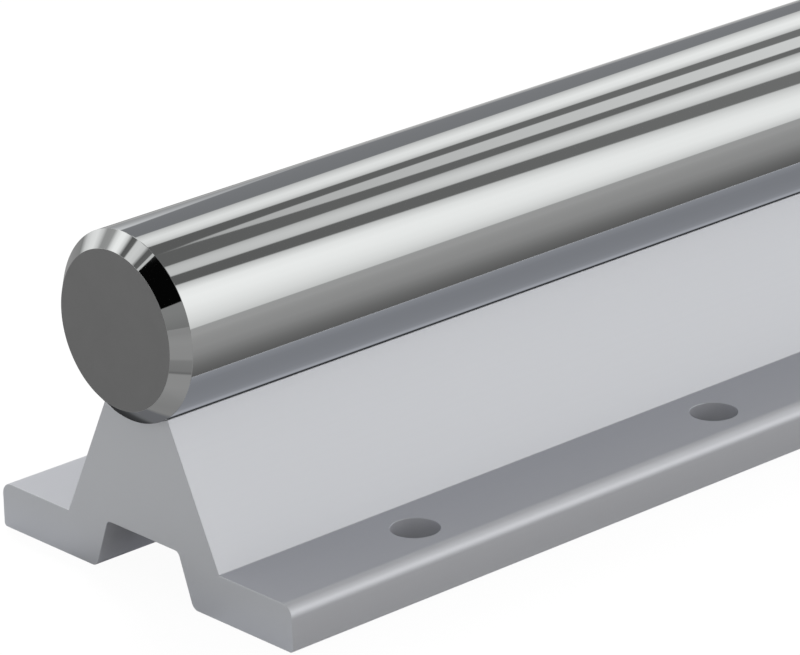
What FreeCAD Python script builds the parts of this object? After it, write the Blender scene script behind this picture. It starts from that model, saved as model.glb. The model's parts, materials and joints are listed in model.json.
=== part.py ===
"""Supported round rail: a chromed round shaft on an aluminium support extrusion.

The shaft lies in a cradle along the top of the support.  Socket head screws come up
through the support's web from a groove in its underside and hold the shaft down.  An
open bearing block runs along the shaft, with its lips in the free space beside the upright.

Millimetres.  X runs across the rail, Y along it and Z up.  The origin is at mid-length,
in the middle of the flat base.
"""
import FreeCAD, Part
import math
import os

# Shaft
shaft_diameter = 20.0
shaft_centre_height = 28.5
shaft_end_overhang = 2.3
shaft_chamfer_length = 1.55
shaft_chamfer_depth = 1.65

# Support extrusion
support_length = 300.0
support_width = 45.0
flange_thickness = 5.0
upright_foot_width = 23.4
cradle_wrap_angle = 55.5
cradle_clearance = 0.02

# Rounded edges of the extrusion
flange_top_edge_radius = 1.4
flange_bottom_edge_radius = 0.4
upright_root_radius = 0.3
cradle_lip_radius = 0.25
groove_roof_radius = 0.7
groove_mouth_radius = 1.0

# Mounting holes through the two flanges
mounting_hole_diameter = 5.1
mounting_hole_edge_distance = 5.6
mounting_hole_pitch = 42.8
mounting_hole_least_end_distance = 21.6

# Clamp screws, M5, one at every second station of the mounting holes
stations_per_clamp_screw = 2
screw_diameter = 5.0
screw_thread_engagement = 7.15
screw_tip_chamfer = 0.8
screw_head_diameter = 8.5
screw_head_height = 5.0
screw_head_edge_chamfer = 0.4
hex_key_size = 4.0
hex_socket_depth = 2.5
hex_socket_lead_in = 0.15
drill_point_angle = 118.0
tapped_hole_spare_depth = 2.0
tapped_hole_clearance = 0.02
web_hole_clearance = 0.25

# Room that the groove in the underside leaves round the screws' heads
groove_depth_below_head = 0.65
groove_side_clearance = 1.25
groove_side_flare = 2.05

# Heights and radii that follow
shaft_radius = shaft_diameter / 2
cradle_radius = shaft_radius + cradle_clearance
cradle_bottom = shaft_centre_height - cradle_radius
groove_depth = screw_head_height + groove_depth_below_head
groove_roof_half_width = screw_head_diameter / 2 + groove_side_clearance
groove_mouth_half_width = groove_roof_half_width + groove_side_flare
screw_tip_height = shaft_centre_height - shaft_radius + screw_thread_engagement

# Places of the hole stations along the rail
counting_slack = 1e-6
length_for_holes = support_length - 2 * mounting_hole_least_end_distance
station_count = 1 + int(length_for_holes / mounting_hole_pitch + counting_slack)
station_places = [(index - (station_count - 1) / 2) * mounting_hole_pitch for index in range(station_count)]
mounting_hole_place_x = support_width / 2 - mounting_hole_edge_distance
clamp_screw_places = station_places[::stations_per_clamp_screw]

ACROSS = FreeCAD.Vector(1, 0, 0)
ALONG = FreeCAD.Vector(0, 1, 0)
UP = FreeCAD.Vector(0, 0, 1)
FULL_TURN = 360
HEXAGON_SIDES = 6
SAME_PLACE = 1e-4


def place(x, z, y=0.0):
    """Point of the section at x and z, or of the rail where y is given too."""
    return FreeCAD.Vector(x, y, z)


def turned(profile, axis_place, axis):
    """Solid turned from (radius, height) corners about an axis."""
    corners = [axis_place + ACROSS * radius + axis * height for radius, height in profile]
    wire = Part.makePolygon(corners + corners[:1])
    return Part.Face(wire).revolve(axis_place, axis, FULL_TURN)


def shaft_with_tapped_holes():
    """Ground bar, chamfered at both ends, with blind tapped holes along its underside."""
    half_length = support_length / 2 + shaft_end_overhang
    face_radius = shaft_radius - shaft_chamfer_depth
    chamfer_start = half_length - shaft_chamfer_length
    profile = [
        (0, -half_length),
        (face_radius, -half_length),
        (shaft_radius, -chamfer_start),
        (shaft_radius, chamfer_start),
        (face_radius, half_length),
        (0, half_length),
    ]
    bar = turned(profile, place(0, shaft_centre_height), ALONG)
    return bar.cut([tapped_hole(y) for y in clamp_screw_places])


def tapped_hole(y):
    """Blind hole for one clamp screw, left by a pointed drill."""
    radius = screw_diameter / 2 + tapped_hole_clearance
    wall_end = screw_tip_height + tapped_hole_spare_depth
    point_depth = radius / math.tan(math.radians(drill_point_angle / 2))
    profile = [(0, 0), (radius, 0), (radius, wall_end), (0, wall_end + point_depth)]
    return turned(profile, place(0, 0, y), UP)


def cradle_lip(side):
    """Corner between the upright's leaning side and the cradle, on the +X or -X side."""
    half_wrap = math.radians(cradle_wrap_angle / 2)
    x = side * cradle_radius * math.sin(half_wrap)
    return place(x, shaft_centre_height - cradle_radius * math.cos(half_wrap))


def half_outline(side):
    """Corners of the support's section on one side, from the groove's roof to the cradle's lip."""
    return [
        place(side * groove_roof_half_width, groove_depth),
        place(side * groove_mouth_half_width, 0),
        place(side * support_width / 2, 0),
        place(side * support_width / 2, flange_thickness),
        place(side * upright_foot_width / 2, flange_thickness),
        cradle_lip(side),
    ]


CORNER_RADII = [
    groove_roof_radius,
    groove_mouth_radius,
    flange_bottom_edge_radius,
    flange_top_edge_radius,
    upright_root_radius,
    cradle_lip_radius,
]


def support_section():
    """Closed outline of the extrusion at y = 0: both halves and the round cradle between them."""
    right = half_outline(1)
    left = half_outline(-1)
    corners = right[::-1] + left
    outline = [Part.LineSegment(a, b).toShape() for a, b in zip(corners, corners[1:])]
    cradle = Part.Arc(left[-1], place(0, cradle_bottom), right[-1])
    return Part.Wire(outline + [cradle.toShape()])


def edges_along(solid, corner):
    """The solid's long edges that pass through a corner of its section."""
    found = []
    for edge in solid.Edges:
        ends = [vertex.Point for vertex in edge.Vertexes]
        if all(math.hypot(end.x - corner.x, end.z - corner.z) < SAME_PLACE for end in ends):
            found.append(edge)
    return found


def support_blank():
    """The extrusion cut to length, with every edge of its section rounded."""
    length = ALONG * support_length
    blank = Part.Face(support_section()).extrude(length)
    blank.translate(length / -2)
    for index, radius in enumerate(CORNER_RADII):
        edges = [edge for side in (1, -1) for edge in edges_along(blank, half_outline(side)[index])]
        blank = blank.makeFillet(radius, edges)
    return blank


def mounting_hole(x, y):
    """Cutter for one hole through a flange."""
    return Part.makeCylinder(mounting_hole_diameter / 2, flange_thickness, place(x, 0, y), UP)


def web_hole(y):
    """Cutter for one clamp screw's clearance hole, from the groove up into the cradle."""
    radius = screw_diameter / 2 + web_hole_clearance
    return Part.makeCylinder(radius, shaft_centre_height, place(0, 0, y), UP)


def drilled_support():
    """The whole support: blank, mounting holes in both flanges, holes through the web."""
    cutters = [web_hole(y) for y in clamp_screw_places]
    for side in (1, -1):
        cutters += [mounting_hole(side * mounting_hole_place_x, y) for y in station_places]
    return support_blank().cut(cutters)


def hex_socket():
    """Cutter for the key's socket, standing on z = 0, with a lead-in cone at its mouth."""
    turn = 2 * math.pi / HEXAGON_SIDES
    corner_radius = hex_key_size / 2 / math.cos(turn / 2)
    angles = [turn * index for index in range(HEXAGON_SIDES)]
    corners = [place(corner_radius * math.cos(a), 0, corner_radius * math.sin(a)) for a in angles]
    socket = Part.Face(Part.makePolygon(corners + corners[:1])).extrude(UP * hex_socket_depth)
    mouth_radius = corner_radius + hex_socket_lead_in
    lead_in = turned([(0, 0), (mouth_radius, 0), (0, mouth_radius)], place(0, 0), UP)
    return socket.fuse(lead_in)


def clamp_screw(y):
    """Socket head screw standing head down: the head in the groove, the shank in the shaft."""
    head_radius = screw_head_diameter / 2
    shank_radius = screw_diameter / 2
    head_bottom = groove_depth_below_head
    profile = [
        (0, head_bottom),
        (head_radius - screw_head_edge_chamfer, head_bottom),
        (head_radius, head_bottom + screw_head_edge_chamfer),
        (head_radius, groove_depth),
        (shank_radius, groove_depth),
        (shank_radius, screw_tip_height - screw_tip_chamfer),
        (shank_radius - screw_tip_chamfer, screw_tip_height),
        (0, screw_tip_height),
    ]
    socket = hex_socket()
    socket.translate(UP * head_bottom)
    screw = turned(profile, place(0, 0), UP).cut(socket)
    screw.translate(ALONG * y)
    return screw


def write_node(name, shape):
    """Writes one piece, a single closed solid, under its node's name."""
    solids = shape.removeSplitter().Solids
    assert len(solids) == 1 and solids[0].isValid(), name
    solids[0].exportStep(f"parts/{name}.step")
    print(name, "volume", round(solids[0].Volume, 1), "faces", len(solids[0].Faces))


os.makedirs("parts", exist_ok=True)
write_node("shaft", shaft_with_tapped_holes())
write_node("support_rail", drilled_support())
for number, screw_place in enumerate(clamp_screw_places, start=1):
    write_node(f"clamp_screw_{number}", clamp_screw(screw_place))
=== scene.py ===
# %% [markdown]
# # A supported round rail
#
# The object is one piece of linear guide: a chromed round shaft that lies along an aluminium
# support and is screwed to it from below. Three finishes carry the whole picture. The shaft
# is a mirror, so it looks like whatever stands round it. The support is extruded and satin
# anodised. The screws underneath are black.
#
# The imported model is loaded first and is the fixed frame. Every size below is read from it
# or written as a real one.

# %% Load the frame
import json
import math

import bmesh
import bpy
from mathutils import Matrix, Vector


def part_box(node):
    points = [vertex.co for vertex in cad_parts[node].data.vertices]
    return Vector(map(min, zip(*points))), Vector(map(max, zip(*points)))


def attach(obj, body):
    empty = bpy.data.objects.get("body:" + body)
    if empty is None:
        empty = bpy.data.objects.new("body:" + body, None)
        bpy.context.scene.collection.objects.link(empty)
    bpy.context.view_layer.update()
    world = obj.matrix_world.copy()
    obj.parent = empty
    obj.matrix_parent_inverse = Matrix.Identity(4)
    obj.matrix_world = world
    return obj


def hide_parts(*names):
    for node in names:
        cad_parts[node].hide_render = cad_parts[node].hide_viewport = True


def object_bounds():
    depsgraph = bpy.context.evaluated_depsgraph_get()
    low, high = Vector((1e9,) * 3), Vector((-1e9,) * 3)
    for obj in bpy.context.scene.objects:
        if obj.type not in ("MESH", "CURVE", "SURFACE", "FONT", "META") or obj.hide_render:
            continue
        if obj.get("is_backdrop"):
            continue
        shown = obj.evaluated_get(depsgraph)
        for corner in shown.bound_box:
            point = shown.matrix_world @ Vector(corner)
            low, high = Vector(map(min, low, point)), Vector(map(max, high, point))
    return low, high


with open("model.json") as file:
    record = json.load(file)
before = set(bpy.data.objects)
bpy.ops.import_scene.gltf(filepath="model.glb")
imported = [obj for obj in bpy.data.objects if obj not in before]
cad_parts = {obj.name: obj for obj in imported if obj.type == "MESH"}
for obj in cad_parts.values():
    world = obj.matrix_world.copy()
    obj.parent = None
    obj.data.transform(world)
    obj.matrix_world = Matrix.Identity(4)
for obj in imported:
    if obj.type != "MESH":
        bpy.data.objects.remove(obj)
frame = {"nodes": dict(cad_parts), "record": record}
cad_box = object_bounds()
MM = 0.001
print("nodes", sorted(frame["nodes"]))
print("CAD box, mm", [[round(c / MM, 1) for c in corner] for corner in cad_box])

# %% [markdown]
# ## Sizes
#
# A drawing of this rail has few driving sizes. The long ones come from the boxes of the
# nodes, and the holes come from the record's mounts, so the meshes below can't drift away
# from the solids that they stand for. The section's small radii are written out, because no
# box shows them. The edge break is what deburring leaves: no real edge is a perfect corner,
# and the thin line of light along it is what makes metal look solid.

# %% Sizes that the nodes give
shaft_low, shaft_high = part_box("shaft")
support_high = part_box("support_rail")[1]
screw_nodes = sorted(name for name in frame["nodes"] if name.startswith("clamp_screw"))
screw_boxes = [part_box(name) for name in screw_nodes]
screw_places = [(low.y + high.y) / 2 for low, high in screw_boxes]
shaft_radius = (shaft_high.x - shaft_low.x) / 2
shaft_height = shaft_high.z - shaft_radius
shaft_half_length = shaft_high.y
support_half_length = support_high.y
support_half_width = support_high.x
print("shaft radius and height, mm", round(shaft_radius / MM, 2), round(shaft_height / MM, 2))
print("screws at, mm", [round(place / MM, 1) for place in screw_places])

# %% Sizes that the mounts give
patterns = [mount for mount in frame["record"]["mounts"] if mount["kind"] == "bolt_pattern"]
hole_radius = patterns[0]["dims"]["hole_r_mm"] * MM
hole_x = patterns[0]["dims"]["spacing_x_mm"] * MM / 2
half_spans = [pattern["dims"].get("spacing_y_mm", 0) * MM / 2 for pattern in patterns]
hole_places = sorted({side * span for span in half_spans for side in (1, -1)})
print("mounting holes at, mm", [round(place / MM, 1) for place in hole_places])

# %% Sizes of the section
flange_thickness = 5.0 * MM
foot_half_width = 11.7 * MM
groove_depth = 5.65 * MM
groove_roof_half_width = 5.5 * MM
groove_mouth_half_width = 7.55 * MM
cradle_half_wrap = math.radians(27.75)
cradle_radius = shaft_radius + 0.02 * MM
print("groove, mm", round(groove_depth / MM, 2), "cradle, mm", round(cradle_radius / MM, 2))

# %% Radii and chamfers
flange_top_radius = 1.4 * MM
flange_bottom_radius = 0.4 * MM
root_radius = 0.12 * MM
lip_radius = 0.12 * MM
roof_radius = 0.7 * MM
mouth_radius = 1.0 * MM
chamfer_length = 1.55 * MM
chamfer_depth = 1.65 * MM
edge_break = 0.08 * MM
print("smallest round, mm", round(edge_break / MM, 2))

# %% [markdown]
# ## The camera
#
# The camera was solved for the photograph: a long lens about half a metre away, a little
# above the rail. It could be turned by hand until it looks right, but edges and ellipses
# measured in the picture give it to a pixel. The point that it looks at and the distance are
# real places. The roll is small, but it shows along a rail that runs out of the picture.

# %% Place the camera
look_at = Vector((0.0, -114.556, 18.100)) * MM
camera_distance = 566.83 * MM
camera_azimuth = math.radians(48.031)
camera_elevation = math.radians(21.438)
camera_roll = math.radians(-1.478)
towards_camera = Vector((
    math.sin(camera_azimuth) * math.cos(camera_elevation),
    -math.cos(camera_azimuth) * math.cos(camera_elevation),
    math.sin(camera_elevation),
))
camera = bpy.data.objects.new("camera", bpy.data.cameras.new("camera"))
camera.data.lens = 246.72
camera.data.sensor_width = 36.0
camera.data.clip_start = 0.05
facing = (-towards_camera).to_track_quat("-Z", "Y").to_matrix().to_4x4()
camera.matrix_world = (
    Matrix.Translation(look_at + towards_camera * camera_distance)
    @ facing
    @ Matrix.Rotation(camera_roll, 4, "Z")
)
bpy.context.scene.collection.objects.link(camera)
bpy.context.scene.camera = camera
bpy.context.scene.view_settings.view_transform = "Standard"
print("camera at, mm", [round(c / MM, 1) for c in camera.matrix_world.translation])

# %% [markdown]
# ## Outlines
#
# Both long pieces start as an outline: the support is an extruded section and the shaft is a
# turned profile. A real die or tool rounds every corner. A bevel could do that on the
# finished mesh, but each corner here has its own radius, so one helper rounds the outline
# before it becomes a mesh. An arc between two tangent points is a turn of the first one's
# spoke into the second one's.

# %% Round an outline's corners
def rounded(corners, radii, steps):
    """Closed outline through the corners, with an arc of so many steps at each rounded one."""
    outline = []
    for index, radius in enumerate(radii):
        corner = Vector(corners[index])
        before = (Vector(corners[index - 1]) - corner).normalized()
        after = (Vector(corners[(index + 1) % len(corners)]) - corner).normalized()
        if radius == 0:
            outline.append(corner)
            continue
        half = before.angle(after) / 2
        centre = corner + (before + after).normalized() * radius / math.sin(half)
        first = corner + before * radius / math.tan(half) - centre
        last = corner + after * radius / math.tan(half) - centre
        swing = math.pi - 2 * half
        for step in range(steps + 1):
            turn = swing * step / steps
            spoke = first * math.sin(swing - turn) + last * math.sin(turn)
            outline.append(centre + spoke / math.sin(swing))
    return outline

# %% Move an outline inwards
def inset(outline, depth):
    """The same outline moved inwards by a depth, for a broken edge round a sawn end."""
    moved = []
    for index, point in enumerate(outline):
        along_in = (point - outline[index - 1]).normalized()
        along_out = (outline[(index + 1) % len(outline)] - point).normalized()
        along = (along_in + along_out).normalized()
        slant = max(along.dot(along_in), 0.5)
        moved.append(point + Vector((-along.y, along.x)) * depth / slant)
    return moved

# %% [markdown]
# ## Meshes
#
# Blender's own cylinder would have flat ends with hard corners and no holes, so each mesh is
# made ring by ring. Every ring has the same number of points, each pair of rings is joined
# by quads, and the two ends are closed by a face. Holes are cut with the exact boolean, from
# cutters made in the same way, and the cutters are thrown away once the cut is made.

# %% Join rings of points into a closed mesh
def skin(name, rings):
    """Closed mesh through rings of equal size, the first and last ring closed by a face."""
    size = len(rings[0])
    points = [tuple(point) for ring in rings for point in ring]
    faces = [tuple(range(size))[::-1]]
    for row in range(len(rings) - 1):
        for column in range(size):
            nearer = row * size + column
            beside = row * size + (column + 1) % size
            faces.append((nearer, beside, beside + size, nearer + size))
    last = (len(rings) - 1) * size
    faces.append(tuple(range(last, last + size)))
    mesh = bpy.data.meshes.new(name)
    mesh.from_pydata(points, [], faces)
    mesh.validate()
    made = bpy.data.objects.new(name, mesh)
    bpy.context.scene.collection.objects.link(made)
    return made

# %% Rings of turned pieces
def turns_of(segments):
    """So many angles round a full circle."""
    return [2 * math.pi * index / segments for index in range(segments)]


def lathe(profile, segments, set_down):
    """Rings of a turned piece: set_down puts a radius, an angle and a height into place."""
    angles = turns_of(segments)
    return [[set_down(radius, angle, height) for angle in angles] for radius, height in profile]


def upright_at(x, y):
    """A way to set down rings round a vertical line."""
    def set_down(radius, angle, height):
        return Vector((x + radius * math.cos(angle), y + radius * math.sin(angle), height))
    return set_down

# %% Cut holes
def settle(made):
    """Takes the result of the object's modifiers into its own mesh."""
    depsgraph = bpy.context.evaluated_depsgraph_get()
    finished = bpy.data.meshes.new_from_object(made.evaluated_get(depsgraph))
    made.modifiers.clear()
    made.data = finished


def tidy(made):
    """Joins points that a cut has left closer than a thousandth of a millimetre."""
    same_place = 0.001 * MM
    mesh = bmesh.new()
    mesh.from_mesh(made.data)
    bmesh.ops.remove_doubles(mesh, verts=mesh.verts, dist=same_place)
    bmesh.ops.dissolve_degenerate(mesh, edges=mesh.edges, dist=same_place)
    mesh.to_mesh(made.data)
    mesh.free()


def cut(made, cutters):
    """Cuts each cutter out of the piece and removes it."""
    for cutter in cutters:
        boolean = made.modifiers.new("hole", "BOOLEAN")
        boolean.operation = "DIFFERENCE"
        boolean.solver = "EXACT"
        boolean.object = cutter
    settle(made)
    for cutter in cutters:
        bpy.data.objects.remove(cutter)
    tidy(made)
    return made

# %% Shade a piece as metal is shaded
def shade(made, sharp_angle=50):
    """Smooth shading that keeps corners over an angle, with normals led by the large faces.

    The weights are areas, and areas in square metres are too small for the modifier to tell
    apart here, so it works on the piece in millimetres.
    """
    for polygon in made.data.polygons:
        polygon.use_smooth = True
    made.data.set_sharp_from_angle(angle=math.radians(sharp_angle))
    weighted = made.modifiers.new("large faces lead", "WEIGHTED_NORMAL")
    weighted.keep_sharp = True
    made.data.transform(Matrix.Scale(1 / MM, 4))
    settle(made)
    made.data.transform(Matrix.Scale(MM, 4))
    triangles = sum(len(polygon.vertices) - 2 for polygon in made.data.polygons)
    print(made.name, "triangles", triangles)
    return made

# %% [markdown]
# ## The shaft
#
# The shaft is ground and hard chromed, and its two ends are chamfered and faced. It is the
# one true mirror in the picture, so its surface has to be rounder than the eye can check:
# 320 segments, and normals that follow the long faces and not the narrow ones at the edges.
# Its tapped holes are blind and stay under the screws, but a shaft without them couldn't be
# held, so they are cut too.

# %% Turn the shaft
face_radius = shaft_radius - chamfer_depth
chamfer_start = shaft_half_length - chamfer_length
shaft_corners = [
    (0.0, -shaft_half_length),
    (face_radius, -shaft_half_length),
    (shaft_radius, -chamfer_start),
    (shaft_radius, chamfer_start),
    (face_radius, shaft_half_length),
    (0.0, shaft_half_length),
]
shaft_radii = [0, edge_break / 2, edge_break, edge_break, edge_break / 2, 0]
shaft_profile = rounded(shaft_corners, shaft_radii, steps=4)[1:-1]
shaft_segments = 320


def along_shaft(radius, angle, height):
    """Point of the shaft, with the angle counted from +X towards +Z."""
    return Vector((radius * math.cos(angle), -height, shaft_height + radius * math.sin(angle)))


shaft = skin("shaft_bar", lathe(shaft_profile, shaft_segments, along_shaft))
print("rings of the shaft", len(shaft_profile))

# %% Drill the shaft for its screws
screw_hole_segments = 48
tapped_radius = 2.52 * MM
tapped_end = screw_boxes[0][1].z + 2 * MM
drill_point_angle = math.radians(118)
tapped_point = tapped_end + tapped_radius / math.tan(drill_point_angle / 2)
drill_profile = [
    (tapped_radius, shaft_height - shaft_radius - 1 * MM),
    (tapped_radius, tapped_end),
    (0.02 * MM, tapped_point),
]
drills = [
    skin("drill", lathe(drill_profile, screw_hole_segments, upright_at(0, place)))
    for place in screw_places
]
shade(cut(shaft, drills))

# %% [markdown]
# ## The support
#
# The support is one extrusion, cut to length and drilled. Its section has two flanges, an
# upright with leaning sides, a round cradle for the shaft and a groove underneath for the
# screw heads. It could be put together from blocks, but a real one comes out of one die, so
# the section is drawn once, with all its radii, and pulled out along Y. At both sawn ends
# the edge is broken by a small round.

# %% Draw the section
def cradle_point(angle):
    """Point of the cradle at an angle from straight down, positive towards +X."""
    return (cradle_radius * math.sin(angle), shaft_height - cradle_radius * math.cos(angle))


cradle_steps = 24
cradle_corners = [
    cradle_point(cradle_half_wrap * (1 - 2 * step / cradle_steps))
    for step in range(cradle_steps + 1)
]
half_corners = [
    (groove_roof_half_width, groove_depth),
    (groove_mouth_half_width, 0.0),
    (support_half_width, 0.0),
    (support_half_width, flange_thickness),
    (foot_half_width, flange_thickness),
]
half_radii = [roof_radius, mouth_radius, flange_bottom_radius, flange_top_radius, root_radius]
cradle_radii = [lip_radius] + [0] * (cradle_steps - 1) + [lip_radius]
left_corners = [(-x, z) for x, z in half_corners[::-1]]
section = rounded(
    half_corners + cradle_corners + left_corners,
    half_radii + cradle_radii + half_radii[::-1],
    steps=10,
)
print("section points", len(section))

# %% Extrude it and break the edges of its ends
def section_at(y, depth):
    """The section's ring at a place along the rail, inset by a depth."""
    return [Vector((point.x, y, point.y)) for point in inset(section, depth)]


quarter_round = 1 - math.sqrt(0.5)
broken_end = [(0.0, 1.0), (quarter_round, quarter_round), (1.0, 0.0)]
near_end = [
    (support_half_length - back * edge_break, depth * edge_break)
    for back, depth in broken_end
]
ends = [(-y, depth) for y, depth in near_end] + near_end[::-1]
support = skin("support_extrusion", [section_at(y, depth) for y, depth in ends][::-1])

# %% Drill the mounting holes and the web
def hole_profile(radius, low, high):
    """Through hole with its edge broken at both surfaces."""
    spare = 0.2 * MM
    wide = radius + edge_break + spare
    return [
        (wide, low - spare),
        (radius, low + edge_break),
        (radius, high - edge_break),
        (wide, high + spare),
    ]


web_hole_radius = 2.75 * MM
flange_hole_segments = 64
flange_hole = hole_profile(hole_radius, 0, flange_thickness)
web_hole = hole_profile(web_hole_radius, groove_depth, shaft_height - cradle_radius)
holes = [
    skin("hole", lathe(flange_hole, flange_hole_segments, upright_at(side * hole_x, place)))
    for side in (1, -1)
    for place in hole_places
]
holes += [
    skin("hole", lathe(web_hole, screw_hole_segments, upright_at(0, place)))
    for place in screw_places
]
shade(cut(support, holes))

# %% [markdown]
# ## The clamp screws
#
# These are socket head screws, upside down: each head sits in the groove with its socket
# facing the floor, and its thread goes up through the web into the shaft. A real head has a
# knurled side for the fingers, a chamfered crown and a hexagonal socket. A relief painted on
# plain cylinders would vanish at their outlines, so both knurl and thread are geometry. They
# are the same idea: the radius of a turned piece changes with the angle, and for the thread
# with the height too, so that it climbs.

# %% Sizes of a screw
head_bottom = screw_boxes[0][0].z
screw_tip = screw_boxes[0][1].z
head_radius = (screw_boxes[0][1].x - screw_boxes[0][0].x) / 2
head_top = groove_depth
head_chamfer = 0.4 * MM
screw_radius = 2.5 * MM
thread_pitch = 0.8 * MM
thread_depth = 0.45 * MM
tip_chamfer = 0.8 * MM
knurl_ridges = 36
knurl_depth = 0.12 * MM
screw_segments = 3 * knurl_ridges
hexagon_sides = 6
socket_corner_radius = 2 * MM / math.cos(math.pi / hexagon_sides)
socket_depth = 2.5 * MM
print("screw length under the head, mm", round((screw_tip - head_top) / MM, 2))

# %% Turn the head with its knurl
def head_rings(set_down):
    """Rings of the head, from its crown, which faces the floor, up to the plain shank."""
    crown = [
        (head_radius - head_chamfer - 0.05 * MM, head_bottom),
        (head_radius - head_chamfer + 0.03 * MM, head_bottom + 0.03 * MM),
        (head_radius - 0.03 * MM, head_bottom + head_chamfer - 0.03 * MM),
        (head_radius, head_bottom + head_chamfer + 0.05 * MM),
        (head_radius, head_bottom + 1.0 * MM),
    ]
    neck = [
        (head_radius - knurl_depth, head_top - 0.35 * MM),
        (head_radius - knurl_depth, head_top - 0.06 * MM),
        (head_radius - knurl_depth - 0.06 * MM, head_top),
        (screw_radius + 0.2 * MM, head_top),
        (screw_radius, head_top + 0.2 * MM),
    ]
    knurl = []
    for height in (head_bottom + 1.15 * MM, head_top - 0.5 * MM):
        ring = []
        for index, angle in enumerate(turns_of(screw_segments)):
            radius = head_radius - (knurl_depth if index % 3 else 0)
            ring.append(set_down(radius, angle, height))
        knurl.append(ring)
    return lathe(crown, screw_segments, set_down) + knurl + lathe(neck, screw_segments, set_down)

# %% Turn the thread
rings_a_turn = 8


def ridge(turns):
    """Height of a blunt ridge, 0 to 1, that repeats once a turn."""
    wave = abs(2 * (turns % 1) - 1)
    return min(max(1.6 * wave - 0.3, 0), 1)


def thread_rings(set_down):
    """Rings of the thread, which grows out of the plain shank and ends in a chamfer."""
    start = head_top + 2 * MM
    rows = round((screw_tip - start) / (thread_pitch / rings_a_turn))
    rings = []
    for row in range(rows + 1):
        height = start + (screw_tip - start) * row / rows
        limit = min(screw_radius, screw_radius - tip_chamfer + (screw_tip - height))
        depth = thread_depth * min(1, row / rings_a_turn)
        ring = []
        for angle in turns_of(screw_segments):
            valley = 1 - ridge(height / thread_pitch - angle / (2 * math.pi))
            ring.append(set_down(min(screw_radius - depth * valley, limit), angle, height))
        rings.append(ring)
    return rings

# %% Make the screws and cut their sockets
mouth = [
    (socket_corner_radius + 0.35 * MM, head_bottom - 0.2 * MM),
    (socket_corner_radius - 0.15 * MM, head_bottom + 0.3 * MM),
]
socket = [
    (socket_corner_radius, head_bottom - 0.1 * MM),
    (socket_corner_radius, head_bottom + socket_depth),
    (0.1 * MM, head_bottom + socket_depth + 0.9 * MM),
]
screws = []
for number, place in enumerate(screw_places, start=1):
    set_down = upright_at(0, place)
    screw = skin(f"socket_screw_{number}", head_rings(set_down) + thread_rings(set_down))
    cutters = [
        skin("lead_in", lathe(mouth, screw_hole_segments, set_down)),
        skin("socket", lathe(socket, hexagon_sides, set_down)),
    ]
    screws.append(shade(cut(screw, cutters), sharp_angle=35))

# %% [markdown]
# ## Shader maths in plain Python
#
# A finish is easier to read as a formula than as a web of nodes. One small class stands for
# a node's output and takes part in arithmetic: each sum or product adds its Math node. Any
# other node comes from one method, which sets the node's settings first and its sockets after.

# %% A wire that can be added and multiplied
class Wire:
    """A node's output, used as a number in formulas."""

    def __init__(self, bench, socket):
        self.bench = bench
        self.socket = socket

    def __add__(self, other):
        return self.bench.math("ADD", self, other)

    def __radd__(self, other):
        return self.bench.math("ADD", other, self)

    def __sub__(self, other):
        return self.bench.math("SUBTRACT", self, other)

    def __rsub__(self, other):
        return self.bench.math("SUBTRACT", other, self)

    def __mul__(self, other):
        return self.bench.math("MULTIPLY", self, other)

    def __rmul__(self, other):
        return self.bench.math("MULTIPLY", other, self)

    def __abs__(self):
        return self.bench.math("ABSOLUTE", self)

    def at_most(self, other):
        """The smaller of the two."""
        return self.bench.math("MINIMUM", self, other)

# %% A bench on which a finish is mixed
class Bench:
    """The node tree of a material or of the world, empty at first."""

    def __init__(self, holder):
        holder.use_nodes = True
        self.holder = holder
        self.tree = holder.node_tree
        self.tree.nodes.clear()

    def node(self, kind, settings=None, sockets=None, output=0):
        """Makes a node: its settings first, then its sockets' values or wires."""
        node = self.tree.nodes.new(kind)
        for name, value in (settings or {}).items():
            setattr(node, name, value)
        for name, value in (sockets or {}).items():
            if isinstance(value, Wire):
                self.tree.links.new(value.socket, node.inputs[name])
            else:
                node.inputs[name].default_value = value
        return Wire(self, node.outputs[output])

    def math(self, operation, *values):
        """A Math node of that operation on the values."""
        return self.node("ShaderNodeMath", {"operation": operation}, dict(enumerate(values)))

    def place(self):
        """Coordinates of the surface as three wires."""
        source = self.node("ShaderNodeTexCoord", output="Object")
        parts = self.node("ShaderNodeSeparateXYZ", sockets={0: source}).socket.node
        return [Wire(self, output) for output in parts.outputs]

    def step(self, value, edge, width):
        """0 below an edge and 1 above it, with a soft change of that width."""
        half = width / 2
        settings = {"interpolation_type": "SMOOTHSTEP"}
        sockets = {"Value": value, "From Min": edge - half, "From Max": edge + half}
        return self.node("ShaderNodeMapRange", settings, sockets)

    def noise(self, stretch, detail=2.0, roughness=0.5):
        """Noise of about 0 to 1, with so many swings a metre along each axis."""
        source = self.node("ShaderNodeTexCoord", output="Object")
        squeezed = self.node("ShaderNodeMapping", sockets={"Vector": source, "Scale": stretch})
        sockets = {"Vector": squeezed, "Scale": 1.0, "Detail": detail, "Roughness": roughness}
        return self.node("ShaderNodeTexNoise", sockets=sockets)

    def blend(self, first, second, share):
        """A colour between two others."""
        sockets = {6: first, 7: second, 0: share}
        return self.node("ShaderNodeMix", {"data_type": "RGBA"}, sockets, 2)

    def bump(self, height, distance):
        """Normal of a surface with that relief, its depth in metres."""
        return self.node("ShaderNodeBump", sockets={"Height": height, "Distance": distance})

    def out(self, surface, kind="ShaderNodeOutputMaterial"):
        """Joins the finished surface to the output."""
        output = self.tree.nodes.new(kind)
        self.tree.links.new(surface.socket, output.inputs["Surface"])
        print(self.holder.name, "nodes", len(self.tree.nodes))


def bench(name):
    """A bench with a new material on it."""
    return Bench(bpy.data.materials.new(name))

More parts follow.
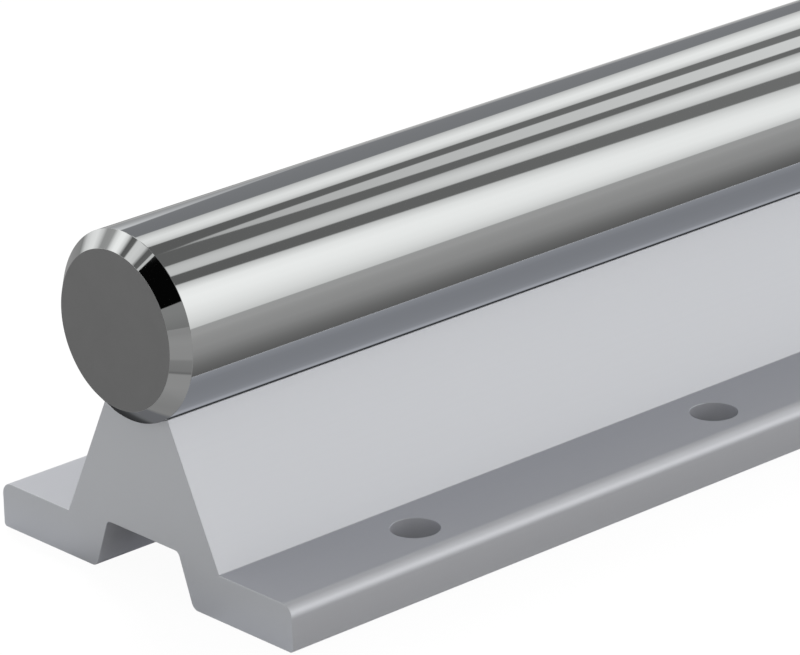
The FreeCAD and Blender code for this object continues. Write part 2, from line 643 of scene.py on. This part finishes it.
# %% [markdown]
# ## Hard chrome
#
# Chrome takes its whole look from what it reflects, so the finish is almost only a metal
# with a low roughness. Grinding goes round the bar, so the lines that it leaves are much
# finer along the shaft than round it. They are too fine to see one by one, and only make
# the reflections' edges a little soft. A thin film of oil, as every such rail has, changes
# the roughness in long patches.

# %% Chrome
chrome = bench("hard_chrome")
grinding = chrome.noise((40, 9000, 40), detail=3.0)
oil_film = chrome.noise((60, 25, 60))
chrome.out(chrome.node("ShaderNodeBsdfPrincipled", sockets={
    "Base Color": (0.805, 0.813, 0.811, 1),
    "Metallic": 1.0,
    "Roughness": 0.018 + grinding * 0.012 + oil_film * 0.012,
    "Normal": chrome.bump(grinding, 0.02e-6),
}))

# %% [markdown]
# ## The faced ends
#
# The ends are sawn and then faced on a lathe, after the plating, so they are bare grey
# steel. Facing leaves circles round the middle. They are drawn from the distance to the
# shaft's line, so they stay circles whatever the size.

# %% Faced steel
def from_shaft_line(finish):
    """Distance of the surface from the shaft's own line."""
    x, y, z = finish.place()
    up = z - shaft_height
    return finish.math("SQRT", x * x + up * up)


circles_a_metre = 9000
faced = bench("faced_steel")
outwards = from_shaft_line(faced) * circles_a_metre
circles = faced.node("ShaderNodeTexNoise", sockets={
    "Vector": faced.node("ShaderNodeCombineXYZ", sockets={"X": outwards}),
    "Scale": 1.0,
    "Detail": 3.0,
})
cloudy = faced.noise((350, 350, 350), detail=3.0)
faced.out(faced.node("ShaderNodeBsdfPrincipled", sockets={
    "Base Color": faced.blend((0.41, 0.41, 0.41, 1), (0.45, 0.45, 0.45, 1), cloudy),
    "Metallic": 1.0,
    "Roughness": 0.42 + circles * 0.08,
    "Normal": faced.bump(circles, 0.8e-6),
}))

# %% [markdown]
# ## Anodised aluminium
#
# The extrusion comes out of the die with faint lines along its length and is then anodised,
# which leaves an even satin grey, a little cold. The oxide layer scatters some light, so it
# isn't a pure metal: part of the finish behaves as paint does. The die lines are noise that
# is stretched along Y. The sawn ends have fine lines across instead. Where the shaft lies
# in its cradle, the colour is painted dark along the seam: partly oil and dust that gather
# there, partly painted shade where the shaft meets the cradle.

# %% Anodised aluminium
aluminium = bench("satin_anodised_aluminium")
die_lines = aluminium.noise((2600, 3, 2600), detail=4.0, roughness=0.6)
saw_lines = aluminium.noise((60, 60, 5200), detail=4.0, roughness=0.6)
grain = aluminium.noise((9000, 9000, 9000))
along_rail = aluminium.place()[1]
sawn = aluminium.step(abs(along_rail), support_half_length - 0.04 * MM, 0.04 * MM)
lines = die_lines + (saw_lines - die_lines) * sawn
# Dark line along the seam: oil and dust, and painted shade of the shaft's contact.
seam_dirt_and_shade = 1 - aluminium.step(from_shaft_line(aluminium), cradle_radius + 0.015 * MM, 0.02 * MM)
drawn = aluminium.blend((0.708, 0.715, 0.748, 1), (0.732, 0.739, 0.772, 1), lines)
clean = aluminium.blend(drawn, (0.66, 0.675, 0.70, 1), sawn * 0.9)
aluminium.out(aluminium.node("ShaderNodeBsdfPrincipled", sockets={
    "Base Color": aluminium.blend(clean, (0.12, 0.125, 0.135, 1), seam_dirt_and_shade),
    "Metallic": 0.75,
    "Roughness": 0.36 + lines * 0.06 + grain * 0.04 + seam_dirt_and_shade * 0.3,
    "Normal": aluminium.bump(lines + grain * 0.25, 1.2e-6),
}))

# %% [markdown]
# ## Black oxide
#
# The screws are blackened steel: a thin dark layer with a dull shine, mottled by the bath
# and by a trace of oil. One noise does both, because the oil lies where the layer is thick.

# %% Black oxide
black = bench("black_oxide_steel")
mottle = black.noise((900, 900, 900), detail=4.0)
black.out(black.node("ShaderNodeBsdfPrincipled", sockets={
    "Base Color": black.blend((0.035, 0.035, 0.038, 1), (0.075, 0.075, 0.08, 1), mottle),
    "Metallic": 0.6,
    "Roughness": 0.32 + mottle * 0.16,
    "Normal": black.bump(mottle, 3e-6),
}))

# %% [markdown]
# ## Dressing
#
# Each mesh takes its finish, rides on the part, and hides the node that it stands for. The
# shaft has a second finish on its two flat ends.

# %% Give each piece its finish
def dress(made, finishes, node):
    """Gives a piece its finishes, rides it on the part and hides the node that it stands for."""
    made.data.materials.clear()
    for finish in finishes:
        made.data.materials.append(finish.holder)
    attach(made, "root")
    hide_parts(node)


dress(shaft, [chrome, faced], "shaft")
end_plane = shaft_half_length - 0.01 * MM
for polygon in shaft.data.polygons:
    flat_end = abs(polygon.normal.y) > 0.99 and abs(polygon.center.y) > end_plane
    polygon.material_index = int(flat_end)
dress(support, [aluminium], "support_rail")
for screw, node in zip(screws, screw_nodes):
    dress(screw, [black], node)
print("pieces", [made.name for made in [shaft, support] + screws])

# %% [markdown]
# ## Floor and sky
#
# The photograph's ground is white to the edge of the picture. More light could whiten a grey
# floor, but it would bleach the metal too. So the floor glows white where the camera, metal
# or glass sees it, with a small share of its own shading so that the object's shadow stays.
# It is clear from below, so that the underside can be looked at. The sky is plain white.

# %% Floor
def add_mesh(name, points, faces, finish):
    """A stage piece from points and faces."""
    mesh = bpy.data.meshes.new(name)
    mesh.from_pydata(points, [], faces)
    mesh.materials.append(finish.holder)
    made = bpy.data.objects.new(name, mesh)
    bpy.context.scene.collection.objects.link(made)
    made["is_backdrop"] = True
    return made


white_share = 0.955
floor_paint = bench("white_floor")
matt = floor_paint.node("ShaderNodeBsdfDiffuse", sockets={"Color": (0.85, 0.85, 0.85, 1)})
glow = floor_paint.node("ShaderNodeEmission", sockets={"Color": (1, 1, 1, 1), "Strength": 1.0})
path = floor_paint.node("ShaderNodeLightPath").socket.node.outputs
rays = ("Is Camera Ray", "Is Glossy Ray", "Is Transmission Ray")
by_camera, by_gloss, by_glass = [Wire(floor_paint, path[name]) for name in rays]
whiteness = (by_camera + by_gloss + by_glass).at_most(1) * white_share
white = floor_paint.node("ShaderNodeMixShader", sockets={0: whiteness, 1: matt, 2: glow})
clear = floor_paint.node("ShaderNodeBsdfTransparent")
below = floor_paint.node("ShaderNodeNewGeometry", output="Backfacing")
floor_paint.out(floor_paint.node("ShaderNodeMixShader", sockets={0: below, 1: white, 2: clear}))
floor_paint.holder.cycles.emission_sampling = "NONE"
floor_reach = 8.0
floor_height = -0.2 * MM
floor_corners = [(-1, -1), (1, -1), (1, 1), (-1, 1)]
floor_points = [(x * floor_reach, y * floor_reach, floor_height) for x, y in floor_corners]
add_mesh("floor", floor_points, [(0, 1, 2, 3)], floor_paint)

# %% Sky
world = bpy.data.worlds.new("studio")
bpy.context.scene.world = world
sky = Bench(world)
background = sky.node("ShaderNodeBackground", sockets={"Color": (1, 1, 1, 1), "Strength": 1.0})
sky.out(background, "ShaderNodeOutputWorld")

# %% [markdown]
# ## The tent
#
# A mirror-bright bar is photographed in a tent: the stripes along it are strips of bright
# cloth and the dark gaps between them, bent into lines by its roundness. A picture of a
# studio wrapped round the scene would also give stripes, but not each one in its place. This
# tent is a half tube round the shaft's own line, so a stripe's place on the shaft is simply
# an angle in the tent, counted from the right over the top to the left. Every strip is real
# geometry, and each of its corners has its own light, written as the grey that the chrome
# shows. Only shiny surfaces see the tent, and only its inner side glows.

# %% Light of a grey
CHROME_SHARE = 0.81
CLOTH_TINT = (0.989, 1.0, 0.995)
PLAIN_TINT = (1.0, 1.0, 1.0)
COLD_SHIFT = (-0.015, 0.0, 0.06)


def glow_for(grey, coldness, tint):
    """Light that the chrome shows as that grey of 0 to 255, a little blue where it's cold.

    The power undoes the curve that a screen's greys follow.
    """
    share = (grey / 255 + 0.055) / 1.055
    light = max(share, 0.0) ** 2.4 / CHROME_SHARE
    return [light * part * (1 + shift * coldness) for part, shift in zip(tint, COLD_SHIFT)] + [1]


print("light of mid grey", [round(part, 3) for part in glow_for(128, 0, CLOTH_TINT)])

# %% Cloth that glows
cloth = bench("glowing_cloth")
own_light = cloth.node("ShaderNodeAttribute", {"attribute_name": "own_light"})
shining = cloth.node("ShaderNodeEmission", sockets={"Color": own_light, "Strength": 1.0})
see_through = cloth.node("ShaderNodeBsdfTransparent")
behind = cloth.node("ShaderNodeNewGeometry", output="Backfacing")
cloth.out(cloth.node("ShaderNodeMixShader", sockets={0: behind, 1: shining, 2: see_through}))
cloth.holder.cycles.emission_sampling = "NONE"


def hang(name, rows, facing, tint=CLOTH_TINT):
    """Cloth through rows of (point, grey, coldness), glowing on the side that faces a point."""
    width = len(rows[0])
    points = [point for row in rows for point, grey, coldness in row]
    faces = []
    for row in range(len(rows) - 1):
        for column in range(width - 1):
            corner = row * width + column
            faces.append((corner, corner + 1, corner + 1 + width, corner + width))
    made = add_mesh(name, points, faces, cloth)
    middle = made.data.polygons[len(faces) // 2]
    if (facing - middle.center).dot(middle.normal) < 0:
        made.data.flip_normals()
    lights = made.data.attributes.new("own_light", "FLOAT_COLOR", "POINT")
    colours = [glow_for(grey, coldness, tint) for row in rows for point, grey, coldness in row]
    lights.data.foreach_set("color", [part for colour in colours for part in colour])
    for ray in ("camera", "diffuse", "transmission", "shadow", "volume_scatter"):
        setattr(made, f"visible_{ray}", False)

# %% Stops and arches
tent_radius = 1.0
tent_half_length = 4.0
tent_middle = Vector((0, 0, shaft_height))


def spread(share, near, far):
    """The value between two ends of the picture."""
    return near + (far - near) * share


def strip(start, end, greys, coldness=0):
    """Stops (angle, grey, coldness) of one strip, its greys spread evenly from start to end."""
    width = (end - start) / (len(greys) - 1)
    return [(start + index * width, grey, coldness) for index, grey in enumerate(greys)]


def arch(y, stops):
    """One arch of the tent, from the right over the top to the left."""
    row = []
    for angle, grey, coldness in stops:
        turn = math.radians(angle)
        x, z = tent_radius * math.cos(turn), shaft_height + tent_radius * math.sin(turn)
        row.append((Vector((x, y, z)), grey, coldness))
    return row

# %% [markdown]
# ## Strips along the rail
#
# Three bright strips run along the rail and drift with it, so each is given twice, by its
# edges in degrees and its greys: where the shaft's end shows the tent and where the picture
# ends. A fourth one, by the top, opens like a wedge from the shaft's end. The places between
# are worked out and not drawn, because the drift has to be even or the stripes would wave.

# %% Bright strips
right_strip = [
    (0.4, 51.7, [194, 211, 222, 231, 235, 230, 188]),
    (0.4, 41.2, [197, 218, 229, 230, 227, 214, 191]),
]
top_strip = [
    (64.7, 76.5, [184, 188, 187, 184, 172]),
    (57.4, 78.3, [190, 210, 219, 205, 175]),
]
left_strip = [
    (110.6, 131.7, [187, 212, 219, 204, 183]),
    (113.6, 145.5, [190, 226, 230, 212, 184]),
]


def between(share, forms):
    """Stops of a strip part-way from its near form to its far one."""
    (near_start, near_end, near_greys), (far_start, far_end, far_greys) = forms
    greys = [spread(share, near, far) for near, far in zip(near_greys, far_greys)]
    return strip(spread(share, near_start, far_start), spread(share, near_end, far_end), greys)

# %% All strips and gaps at one place of the tent
fade_degrees = 1.4


def strips_along(share):
    """Stops of the tent at a place: 0 where the shaft's end shows it, 1 where the picture ends.

    The wedge's two edges lie close together at 0 and part quickly. A last strip, low on the
    left, starts further down at each place, until the cold gap above it has swallowed it.
    """
    fade = fade_degrees
    right, top, left = [between(share, forms) for forms in (right_strip, top_strip, left_strip)]
    dark = spread(share, 88, 106)
    by_wedge = spread(share, 92, 100)
    closed = math.exp(-max(share, 0) / 0.2)
    wedge_low = min(spread(share, 88.2, 86.4) + 10 * closed, 95.2)
    wedge_high = max(spread(share, 102.5, 101.3) - 8 * closed, 95.3)
    wedge_grey = dark + (spread(share, 166, 198) - dark) * min(max(share / 0.07, 0), 1)
    cold_greys = [spread(share, grey, 118) for grey in (113, 114, 116)]
    low_edge = min(159.2 + 64 * share, 179.5)
    low_grey = spread(max(1 - share / 0.25, 0), 146, 188)
    stops = [(-2.0, 149, 0), (-0.5, 151, 0)]
    stops += right + strip(right[-1][0] + fade, top[0][0] - fade, [dark, dark])
    stops += top + strip(top[-1][0] + fade, wedge_low - fade / 2, [by_wedge, by_wedge])
    stops += strip(min(wedge_low + fade / 2, wedge_high), wedge_high + 0.01, [wedge_grey] * 3)
    stops += strip(wedge_high + fade, left[0][0] - fade, [dark, dark]) + left
    stops += strip(left[-1][0] + fade, 150, cold_greys[:2], coldness=1)
    stops.append((max(low_edge - fade, 151), cold_greys[2], 1))
    stops += strip(max(low_edge + fade, 153), 182, [low_grey, 154, 140], coldness=0.5)
    return stops

# %% Hang the strips along the rail
tent_near, tent_far = 0.58, 0.84
shares = [-1.5, -0.2, 0, 0.02, 0.06, 0.12, 0.2, 0.3, 0.45, 0.7, 1, 1.6, 12]
rail_rows = []
for share in shares:
    stops = strips_along(min(max(share, -0.2), 1.6))
    rail_rows.append(arch(spread(share, tent_near, tent_far), stops))
hang("tent_along", rail_rows, tent_middle)
print("strips along the rail have", len(rail_rows[0]), "stops")

# %% [markdown]
# ## Strips in front of the shaft's end
#
# The chamfer looks forwards and shows another part of the tent, squeezed into a narrow ring:
# several strips, and one wide gap on the right that is black in the photograph. The strips
# along the rail could simply go on here, but the chamfer's ring shows other ones. The gap is
# black only as far along as the chamfer shows it, so that the shaft doesn't turn black when
# it is seen from behind.

# %% Strips in front
def strips_in_front(gap):
    """Stops of the tent in front of the shaft's end, with a grey for its widest gap."""
    stops = [(-2.0, 113, 0)]
    stops += strip(0, 34.6, [113, 119, 123, 123])
    stops += strip(35.4, 100.6, [gap, gap])
    stops += strip(101.3, 103.7, [182, 182])
    stops += strip(104.5, 109.6, [92, 86])
    stops += strip(113.4, 123.6, [190, 201, 197])
    stops += strip(125.4, 129.8, [92, 84])
    stops += strip(133.4, 145, [202, 231, 231, 208])
    stops += strip(148.6, 156.3, [146, 140, 141])
    stops += strip(159.8, 174.8, [190, 218, 213, 195])
    stops += strip(178.6, 182, [150, 124, 124])
    return stops


grey_gap, black_gap = 96, 3
front_gaps = [
    (-tent_half_length, grey_gap),
    (-1.95, grey_gap),
    (-1.8, black_gap),
    (-1.12, black_gap),
    (-1.04, grey_gap),
    (spread(shares[0], tent_near, tent_far), grey_gap),
]
hang("tent_in_front", [arch(y, strips_in_front(gap)) for y, gap in front_gaps], tent_middle)
print("strips in front have", len(strips_in_front(black_gap)), "stops")

# %% Closed ends of the tent
for side in (1, -1):
    end_y = side * (tent_half_length - 0.05)
    rim = arch(end_y, [(angle, 140, 0) for angle in range(-2, 183, 8)])
    hub = [(Vector((0, end_y, shaft_height)), 120, 0)] * len(rim)
    hang("tent_end", [rim, hub], tent_middle)

# %% [markdown]
# ## The ground
#
# The lower half of the mirror sees the ground: grey boards that glow and get darker towards
# the rail, as a ground does where the object stands on it: a painted shadow of the rail. One
# painted floor could do this, but boards let each side keep its own shades. The boards in
# front of the end are shown by the chamfer and the sawn end, and are darker right at the
# end: painted shade. Those under the flanges, under the groove and in the mounting holes are
# shown by the satin metal there, dimly: they are painted shade under the support, in its
# groove and in its holes.

# %% Boards beside the rail
board_height = -0.1 * MM
ground_end = tent_half_length - 0.01
ground_coldness = 1.2
upwards = Vector((0, 0, 1))


def board(name, x_places, y_places, rows_of_greys, cold_rows=0):
    """A flat board with a row of greys for each Y place, its first rows a little cold."""
    rows = []
    for index, (y, greys) in enumerate(zip(y_places, rows_of_greys)):
        cold = ground_coldness if index < cold_rows else 0
        corners = [Vector((x, y, board_height)) for x in x_places]
        rows.append([(corner, grey, cold) for corner, grey in zip(corners, greys)])
    hang(name, rows, upwards, PLAIN_TINT)


# The greys fall towards the rail: painted shadow of the rail on the ground.
beside_steps = [0, 1.6, 2.5, 11.5, 20.5, 32.5, 52, 91, 207, 976]
right_greys = [108, 96, 88, 102, 116, 129, 137, 140, 149, 150]
left_near_greys = [108, 96, 88, 102, 116, 126, 132, 136, 130, 124]
left_far_greys = [108, 96, 88, 102, 120, 140, 178, 190, 160, 136]
right_places = [support_half_width + step * MM for step in beside_steps]
left_places = [-place for place in right_places]
right_ends = [-support_half_length, ground_end]
left_ends = [-support_half_length, -40 * MM, 30 * MM, ground_end]
left_rows = [left_near_greys, left_near_greys, left_far_greys, left_far_greys]
board("board_on_the_right", right_places, right_ends, [right_greys] * 2)
board("board_on_the_left", left_places, left_ends, left_rows)
print("boards beside the rail reach, mm", round(right_places[-1] / MM))

# %% Boards in front and behind
# The first greys, darker just in front of the sawn end, are painted shade.
front_steps = [0, 4, 5.2, 8, 12, 17, 25.5, 27, 29, 41, 45, 100, 250, 3840]
front_greys = [98, 100, 126, 124, 129, 137, 136, 100, 115, 121, 135, 138, 132, 134]
right_side_greys = [136, 133, 131] + front_greys[5:]
front_places = [-support_half_length - step * MM for step in front_steps]
across = [x * MM for x in (-999, -16.5, -13, -10.5, 1, 3.5, 9, 11, 999)]
front_rows = [[138, 138, 122, grey, grey, 122, 122, 139, 139] for grey in front_greys[:2]]
front_rows += [
    [grey] * 7 + [right_grey] * 2
    for grey, right_grey in zip(front_greys[2:], right_side_greys)
]
board("board_in_front", across, front_places, front_rows, cold_rows=2)
rail_sides = [-support_half_width, support_half_width]
board("board_behind", rail_sides, [support_half_length, ground_end], [[140, 140]] * 2)
print("board in front reaches, mm", round(front_places[-1] / MM))

# %% Boards underneath
# Dim glowing boards under the support, in its groove and in its holes: painted shade that the
# satin metal shows instead of the white floor.
groove_places = [x * MM for x in (-8, -6.6, -5.8, -5, -4.3, -3.3, -1.5, 8)]
groove_rows = [
    [84, 80, 60, 30, 5, 5, 40, 50],
    [95, 92, 72, 50, 10, 10, 60, 70],
    [112, 108, 92, 72, 45, 30, 80, 84],
    [112, 108, 95, 84, 84, 84, 84, 84],
    [112, 108, 95, 84, 84, 84, 84, 84],
]
along = [-support_half_length + step * MM for step in (0, 3, 8, 40, 300)]
board("board_under_groove", groove_places, along, groove_rows, cold_rows=len(groove_rows))
disc_angles = [math.radians(15 * step) for step in range(25)]
disc_radius = hole_radius - 0.1 * MM
disc_height = 0.1 * MM
disc_grey = 84
for side in (1, -1):
    flange_places = [side * 8 * MM, side * support_half_width]
    board("board_under_flange", flange_places, [along[0], along[-1]], [[150, 150]] * 2)
    for place in hole_places:
        set_down = upright_at(side * hole_x, place)
        rim = [(set_down(disc_radius, angle, disc_height), disc_grey, 0) for angle in disc_angles]
        hub = [(set_down(0, 0, disc_height), disc_grey, 0)] * len(rim)
        hang("board_in_hole", [rim, hub], upwards)
print("discs in mounting holes", 2 * len(hole_places))

# %% [markdown]
# ## Cards that face the shaft
#
# In the photograph the underside of the chrome shows the flange and the upright as plain
# shades, without the dark spots of the holes. Closing the holes would spoil the support, so
# narrow cards lie just over it and face the shaft. They glow on that side only, and nothing
# but shiny surfaces sees them: they are a painted reflection of the support. Their greys
# darken at the lip of the cradle and on the sawn ends towards the shaft: painted shade.

# %% Cards
card_coldness = 1.8


def card(name, line, facing):
    """A card along the whole support, from a line of (x, z, grey) across it."""
    rows = []
    for y in (-support_half_length, support_half_length):
        rows.append([(Vector((x, y, z)), grey, card_coldness) for x, z, grey in line])
    hang(name, rows, facing)


# Greys that fall at the lip and, on the ends, towards the shaft are painted shade.
flange_greys = [(21.5, 140), (20, 130), (16, 122), (11.7, 121)]
upright_greys = [(-0.002, 121), (0.5, 122), (0.8, 124), (0.9, 130)]
upright_greys += [(0.955, 152), (0.978, 140), (0.984, 60), (1, 50)]
end_greys = [(0.05, 100), (8, 95), (11, 88), (13.5, 67), (15, 56), (18.3, 40)]
flange_card_height = flange_thickness + 0.15 * MM
upright_card_gap = 0.12 * MM
end_card_gap = 0.1 * MM
lip_x, lip_z = cradle_point(cradle_half_wrap)
for side in (1, -1):
    foot = Vector((side * foot_half_width, 0, flange_thickness))
    climb = Vector((side * lip_x, 0, lip_z)) - foot
    off = Vector((side * climb.z, 0, abs(climb.x))).normalized() * upright_card_gap
    card("card_on_flange", [
        (side * x * MM, flange_card_height, grey)
        for x, grey in flange_greys
    ], upwards)
    start = foot + off
    card("card_on_upright", [
        (start.x + climb.x * share, start.z + climb.z * share, grey)
        for share, grey in upright_greys
    ], Vector((side, 0, 0.5)))
    end_y = side * (support_half_length + end_card_gap)
    end_rows = [
        [(Vector((x * MM, end_y, z * MM)), grey, 1) for x in (-13, 13)]
        for z, grey in end_greys
    ]
    hang("card_on_end", end_rows, Vector((0, side, 0)))
print("lip of the cradle at, mm", round(lip_x / MM, 2), round(lip_z / MM, 2))

# %% [markdown]
# ## Lamps
#
# The sky lights everything evenly, which would leave the support flat. A large soft lamp
# stands to the left and behind, so that the left flange is brighter than the right one,
# which lies in the shaft's shade. A much weaker one low on the right lifts the long edge of
# the right flange. The mirror shows neither, as it would show them as squares.

# %% Lamps
def soft_lamp(name, place, power, size):
    """A large square lamp that looks at the rail and doesn't show in metal."""
    light = bpy.data.lights.new(name, "AREA")
    light.energy = power
    light.size = size
    lamp = bpy.data.objects.new(name, light)
    turned = place.to_track_quat("Z", "Y").to_matrix().to_4x4()
    lamp.matrix_world = Matrix.Translation(place) @ turned
    lamp.visible_glossy = False
    lamp.visible_camera = False
    bpy.context.scene.collection.objects.link(lamp)
    print(name, "W", power)


soft_lamp("left_lamp", Vector((-0.75, 0.3, 1.05)), 22.0, 0.45)
soft_lamp("right_lamp", Vector((1.25, -0.25, 0.25)), 2.4, 0.4)

# %% [markdown]
# ## The two boxes
#
# Both boxes are printed: the solids' box at the start, and the dressed model's box here. The
# dressed model has to stay inside the solids' box.

# %% Write the two boxes and finish
visual_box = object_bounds()
[[list(corner) for corner in box] for box in (cad_box, visual_box)]
print("visual box, mm", [[round(c / MM, 1) for c in corner] for corner in visual_box])
